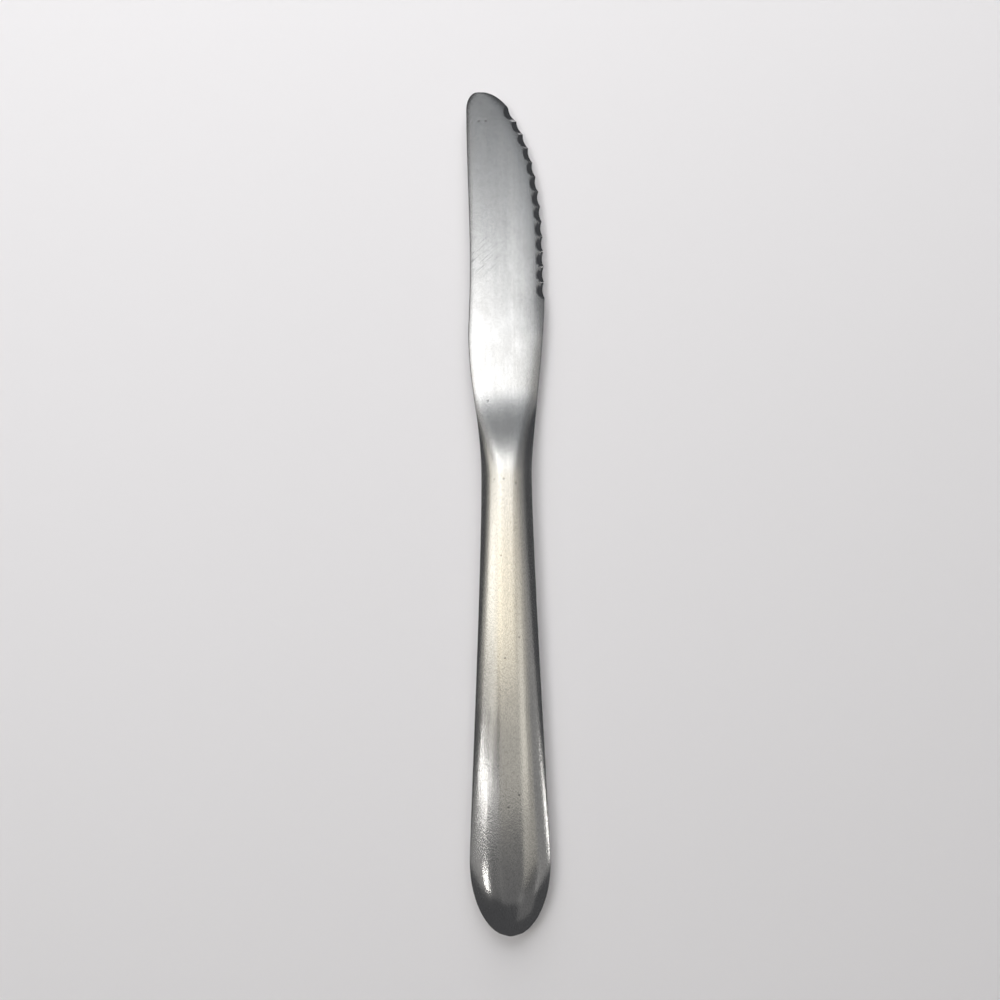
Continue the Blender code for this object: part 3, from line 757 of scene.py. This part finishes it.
def blade_finish():
    """Satin steel brushed along the blade, with bands, smudges, worn mottling, scratches and a few pits. The
    pits and the steep faces of the flutes and rims carry painted shade.
    """
    tree, shader, material = new_material("blade_satin")
    shader.inputs["Metallic"].default_value = 1.0
    brush = noise(tree, BLADE_BRUSH, FINE_DETAIL)
    band = noise(tree, BLADE_BAND, FINE_DETAIL)
    smudge = noise(tree, BLADE_SMUDGE, BLADE_SMUDGE_DETAIL)
    mottle = noise(tree, BLADE_MOTTLE, FINE_DETAIL)
    dents = pits(tree, BLADE_PITS, blade_half_thickness)
    neck = remap(tree, lengthwise(tree), BUTT + SHOULDER, BUTT + SHOULDER + NECK_BLEND, 1.0, 0.0)
    steep = combine(tree, "SUBTRACT", steepness(tree), neck)
    x, y = SCRATCH_PLACE
    lines = noise(tree, SCRATCH, SCRATCH_DETAIL, SCRATCH_TURN)
    lines = remap(tree, lines, *SCRATCH_SPAN, 0.0, SCRATCH_SHARE)
    lines = combine(tree, "MULTIPLY", lines, near(tree, (AXIS_X + x, BUTT + y, SEAM_Z), SCRATCH_REACH))
    tone = blend_tones(tree, remap(tree, band, *MIDDLE_SPAN, 0.0, 1.0), *BLADE_TONES)
    tone = blend_tones(tree, neck, tone, HANDLE_TONES[1])
    tone = blend_tones(tree, remap(tree, brush, *BRUSH_SPAN, BLADE_BRUSH_SHARE, 0.0), tone, BLADE_BRUSH_TONE)
    tone = blend_tones(tree, remap(tree, mottle, *GRAIN_SPAN, BLADE_MOTTLE_SHARE, 0.0),
                       tone, BLADE_MOTTLE_TONE)
    tone = blend_tones(tree, remap(tree, smudge, *WIDE_SPAN, 0.0, BLADE_SMUDGE_SHARE),
                       tone, BLADE_SMUDGE_TONE)
    tone = blend_tones(tree, lines, tone, SCRATCH_TONE)
    # Painted shade in the dents, broken up by the mottling
    painted_dent_shade = combine(tree, "MULTIPLY", dents, remap(tree, mottle, *PIT_SPAN, PIT_SHARE_LEAST, 1.0))
    tone = blend_tones(tree, painted_dent_shade, tone, BLADE_PAINTED_DENT_SHADE)
    # Painted shade on the steep faces of the flutes and rims
    tone = blend_tones(tree, remap(tree, steep, 0.0, 1.0, 0.0, STEEP_SHADE_SHARE), tone, BLADE_PAINTED_STEEP_SHADE)
    normal = bump(tree, brush, BLADE_BRUSH_HEIGHT)
    normal = bump(tree, mottle, BLADE_MOTTLE_HEIGHT, normal)
    normal = bump(tree, remap(tree, dents, 0.0, 1.0, 1.0, 0.0), PIT_DEPTH, normal)
    rough = remap(tree, smudge, *WIDE_SPAN, *BLADE_ROUGHNESS)
    rough = combine(tree, "SUBTRACT", rough, remap(tree, steep, 0.0, 1.0, 0.0, STEEP_POLISH))
    link(tree, shader, Base_Color=tone, Roughness=rough, Normal=normal)
    return material


def cement_finish():
    """Cast mineral cement: sand grains in a paler binder."""
    tree, shader, material = new_material("cast_cement")
    sand = noise(tree, CEMENT_SAND, CEMENT_DETAIL)
    tone = blend_tones(tree, remap(tree, sand, *SAND_SPAN, 0.0, 1.0), *CEMENT_TONES)
    rough = remap(tree, sand, *MIDDLE_SPAN, *CEMENT_ROUGHNESS)
    link(tree, shader, Base_Color=tone, Roughness=rough, Normal=bump(tree, sand, CEMENT_SAND_HEIGHT))
    return material


def make_camera():
    scene = bpy.context.scene
    data = bpy.data.cameras.new("camera")
    data.sensor_width = SENSOR
    data.lens = SENSOR * CAMERA_HEIGHT * PX_PER_M / PICTURE
    data.clip_start = CLIP_START
    camera = bpy.data.objects.new("camera", data)
    across = (AXIS_PX_AT_MIDDLE - PICTURE / 2) / PX_PER_M
    along = (BUTT_PX - PICTURE / 2) / PX_PER_M
    camera.location = (AXIS_X - across, BUTT + along, SEAM_Z + CAMERA_HEIGHT)
    camera.rotation_euler = (0, 0, -KNIFE_LEAN)
    scene.collection.objects.link(camera)
    scene.camera = camera


def add_lamp(name, data, spot, back):
    """Lamp at a place, with its back to the direction given, out of the camera's sight."""
    lamp = bpy.data.objects.new(name, data)
    lamp.location = spot
    lamp.rotation_euler = back.to_track_quat("Z", "Y").to_euler()
    lamp.visible_camera = False
    bpy.context.scene.collection.objects.link(lamp)
    return lamp


def box_light(name, width, depth, radiance, colour):
    data = bpy.data.lights.new(name, "AREA")
    data.shape = "RECTANGLE"
    data.size = width
    data.size_y = depth
    data.energy = radiance * math.pi * width * depth
    data.color = colour
    return data


def make_soft_boxes():
    """Level soft boxes overhead, each a step above the one before."""
    for step, (name, (left, right), (back, front), radiance, colour) in enumerate(SOFT_BOXES):
        height = LAMP_HEIGHT + step * LAMP_STEP
        data = box_light(name, height * (right - left), height * (front - back), radiance, colour)
        middle = Vector(((left + right) / 2, (back + front) / 2, 1)) * height
        add_lamp(name, data, middle, Vector((0, 0, 1)))


def make_glint():
    """Low box on the right that glints in the ends of the scallops."""
    data = box_light("glint", GLINT_SIZE, GLINT_SIZE, GLINT_RADIANCE, WHITE)
    add_lamp("glint", data, GLINT_PLACE, GLINT_PLACE)


def make_floor_lamp(name, spot, size, power):
    """Round soft lamp that lights the floor, kept out of the reflections."""
    data = bpy.data.lights.new(name, "AREA")
    data.shape = "DISK"
    data.size = size
    data.energy = power
    add_lamp(name, data, spot, spot).visible_glossy = False


def make_floor():
    bpy.ops.mesh.primitive_plane_add(size=FLOOR_SIZE)
    floor = bpy.context.object
    floor.name = "floor"
    shader, material = new_material("floor")[1:]
    shader.inputs["Base Color"].default_value = (*FLOOR_COLOUR, 1)
    shader.inputs["Roughness"].default_value = FLOOR_ROUGHNESS
    shader.inputs["Specular IOR Level"].default_value = FLOOR_GLOSS
    floor.data.materials.append(material)


def make_world():
    world = bpy.data.worlds.new("studio")
    world.use_nodes = True
    background = world.node_tree.nodes["Background"]
    background.inputs["Color"].default_value = (*SKY_COLOUR, 1)
    bpy.context.scene.world = world


bpy.context.scene.view_settings.view_transform = "Standard"
blade_steel = blade_finish()
handle_steel = handle_finish()
cement_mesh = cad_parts["handle_cement"].data
cement_mesh.materials.clear()
cement_mesh.materials.append(cement_finish())
make_blade(blade_steel)
make_shell("handle_upper", "handle_shell_upper", 1, handle_steel)
make_shell("handle_lower", "handle_shell_lower", -1, handle_steel)
make_seam_line(handle_steel)
make_neck_line(handle_steel)
make_camera()
make_floor()
make_world()
make_soft_boxes()
make_glint()
make_floor_lamp("key", KEY_PLACE, KEY_SIZE, KEY_POWER)
make_floor_lamp("fill", FILL_PLACE, FILL_SIZE, FILL_POWER)
